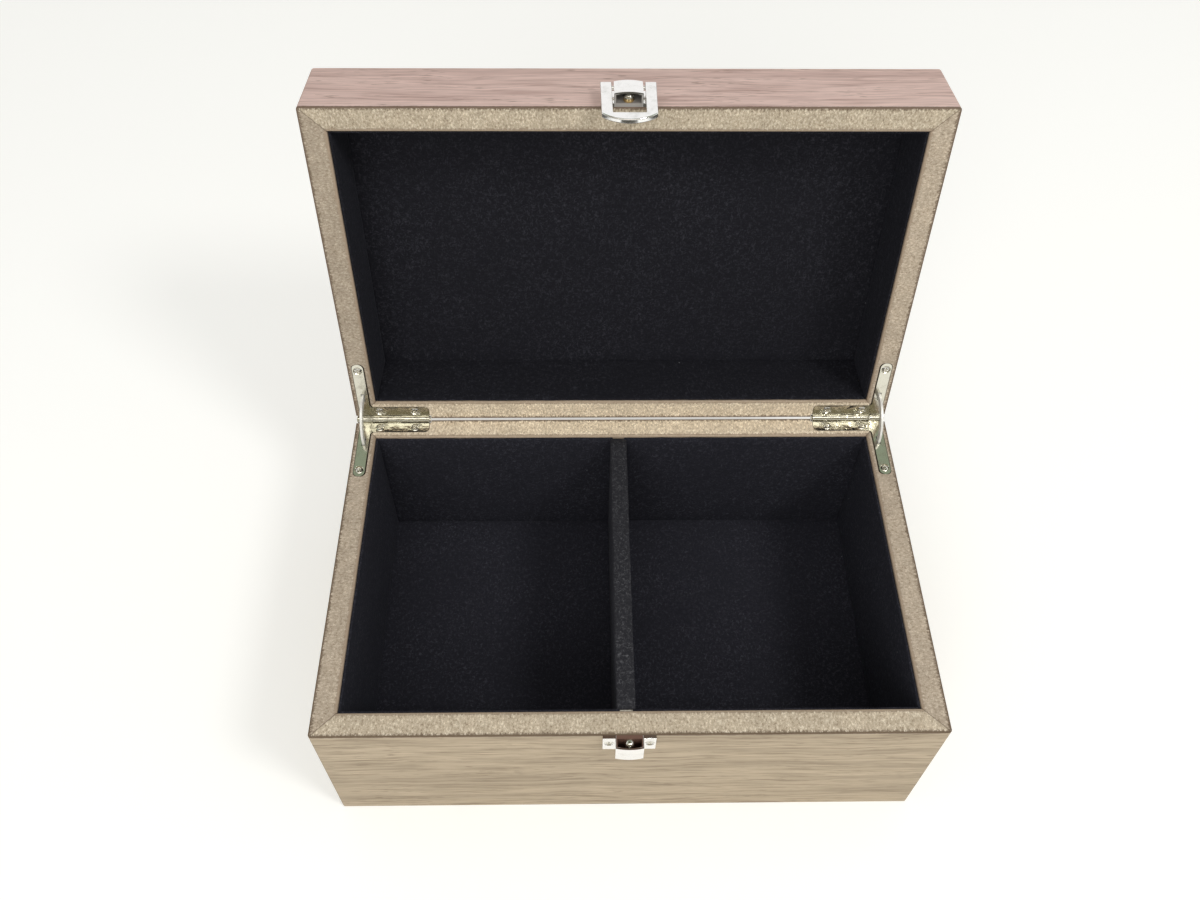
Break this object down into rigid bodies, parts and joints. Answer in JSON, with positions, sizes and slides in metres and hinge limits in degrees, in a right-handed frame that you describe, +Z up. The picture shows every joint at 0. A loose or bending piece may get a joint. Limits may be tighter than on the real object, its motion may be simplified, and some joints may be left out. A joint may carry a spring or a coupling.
{
  "type": "hinged game box",
  "caption": "Rectangular chess box with a hinged lid, mitred veneered walls, felt lining, a fixed divider, quadrant hinges with stays and a swinging hasp latch.",
  "frame": {"origin": "centre of the underside that the box stands on", "axes": "+X to the right along the long side, +Y to the back where the hinges are, +Z up; the lid stands open"},
  "size_m": [0.28, 0.2471, 0.267],
  "materials": {
    "veneer": "matte walnut veneer with fine straight grain",
    "fibreboard": "bare sanded medium density fibreboard",
    "felt": "dark navy pressed felt with short fibres and lint",
    "nickel": "bright nickel plate over stamped steel, slightly satin"
  },
  "bodies": {
    "base": {"base_back_felt": "felt", "base_back_veneer": "veneer", "base_back_wall": "fibreboard", "base_bottom_panel": "fibreboard", "base_floor_felt": "felt", "base_front_felt": "felt", "base_front_veneer": "veneer", "base_front_wall": "fibreboard", "base_hinge_screws": "nickel", "base_left_felt": "felt", "base_left_veneer": "veneer", "base_left_wall": "fibreboard", "base_right_felt": "felt", "base_right_veneer": "veneer", "base_right_wall": "fibreboard", "divider_board": "fibreboard", "divider_felt": "felt", "hinge_base_leaf_left": "nickel", "hinge_base_leaf_right": "nickel", "hinge_pin_left": "nickel", "hinge_pin_right": "nickel", "keeper": "nickel", "keeper_screws": "nickel"},
    "lid": {"hasp_bracket": "nickel", "hasp_bracket_screws": "nickel", "hasp_pin": "nickel", "hinge_lid_leaf_left": "nickel", "hinge_lid_leaf_right": "nickel", "lid_back_felt": "felt", "lid_back_veneer": "veneer", "lid_back_wall": "fibreboard", "lid_ceiling_felt": "felt", "lid_front_felt": "felt", "lid_front_veneer": "veneer", "lid_front_wall": "fibreboard", "lid_hinge_screws": "nickel", "lid_left_felt": "felt", "lid_left_veneer": "veneer", "lid_left_wall": "fibreboard", "lid_right_felt": "felt", "lid_right_veneer": "veneer", "lid_right_wall": "fibreboard", "lid_top_panel": "fibreboard", "lid_top_veneer": "veneer"},
    "stay_left": {"hinge_stay_left": "nickel"},
    "stay_right": {"hinge_stay_right": "nickel"},
    "hasp": {"hasp_frame": "nickel"}
  },
  "joints": [
    {"name": "lid_hinge", "type": "hinge", "parent": "base", "child": "lid", "pos_m": [0, 0.0882, 0.0866], "axis": [1, 0, 0], "range_deg": [0, 99]},
    {"name": "stay_left_turn", "type": "hinge", "parent": "base", "child": "stay_left", "pos_m": [-0.1346, 0.0882, 0.0866], "axis": [1, 0, 0], "range_deg": [0, 49.5]},
    {"name": "stay_right_turn", "type": "hinge", "parent": "base", "child": "stay_right", "pos_m": [0.1346, 0.0882, 0.0866], "axis": [1, 0, 0], "range_deg": [0, 49.5]},
    {"name": "hasp_swing", "type": "hinge", "parent": "lid", "child": "hasp", "pos_m": [-0.0008, 0.12555, 0.26298], "axis": [-1, 0, 0], "range_deg": [0, 170]}
  ],
  "couplings": [
    {"joint": "stay_left_turn", "follows": "lid_hinge", "ratio": 0.5},
    {"joint": "stay_right_turn", "follows": "lid_hinge", "ratio": 0.5}
  ]
}
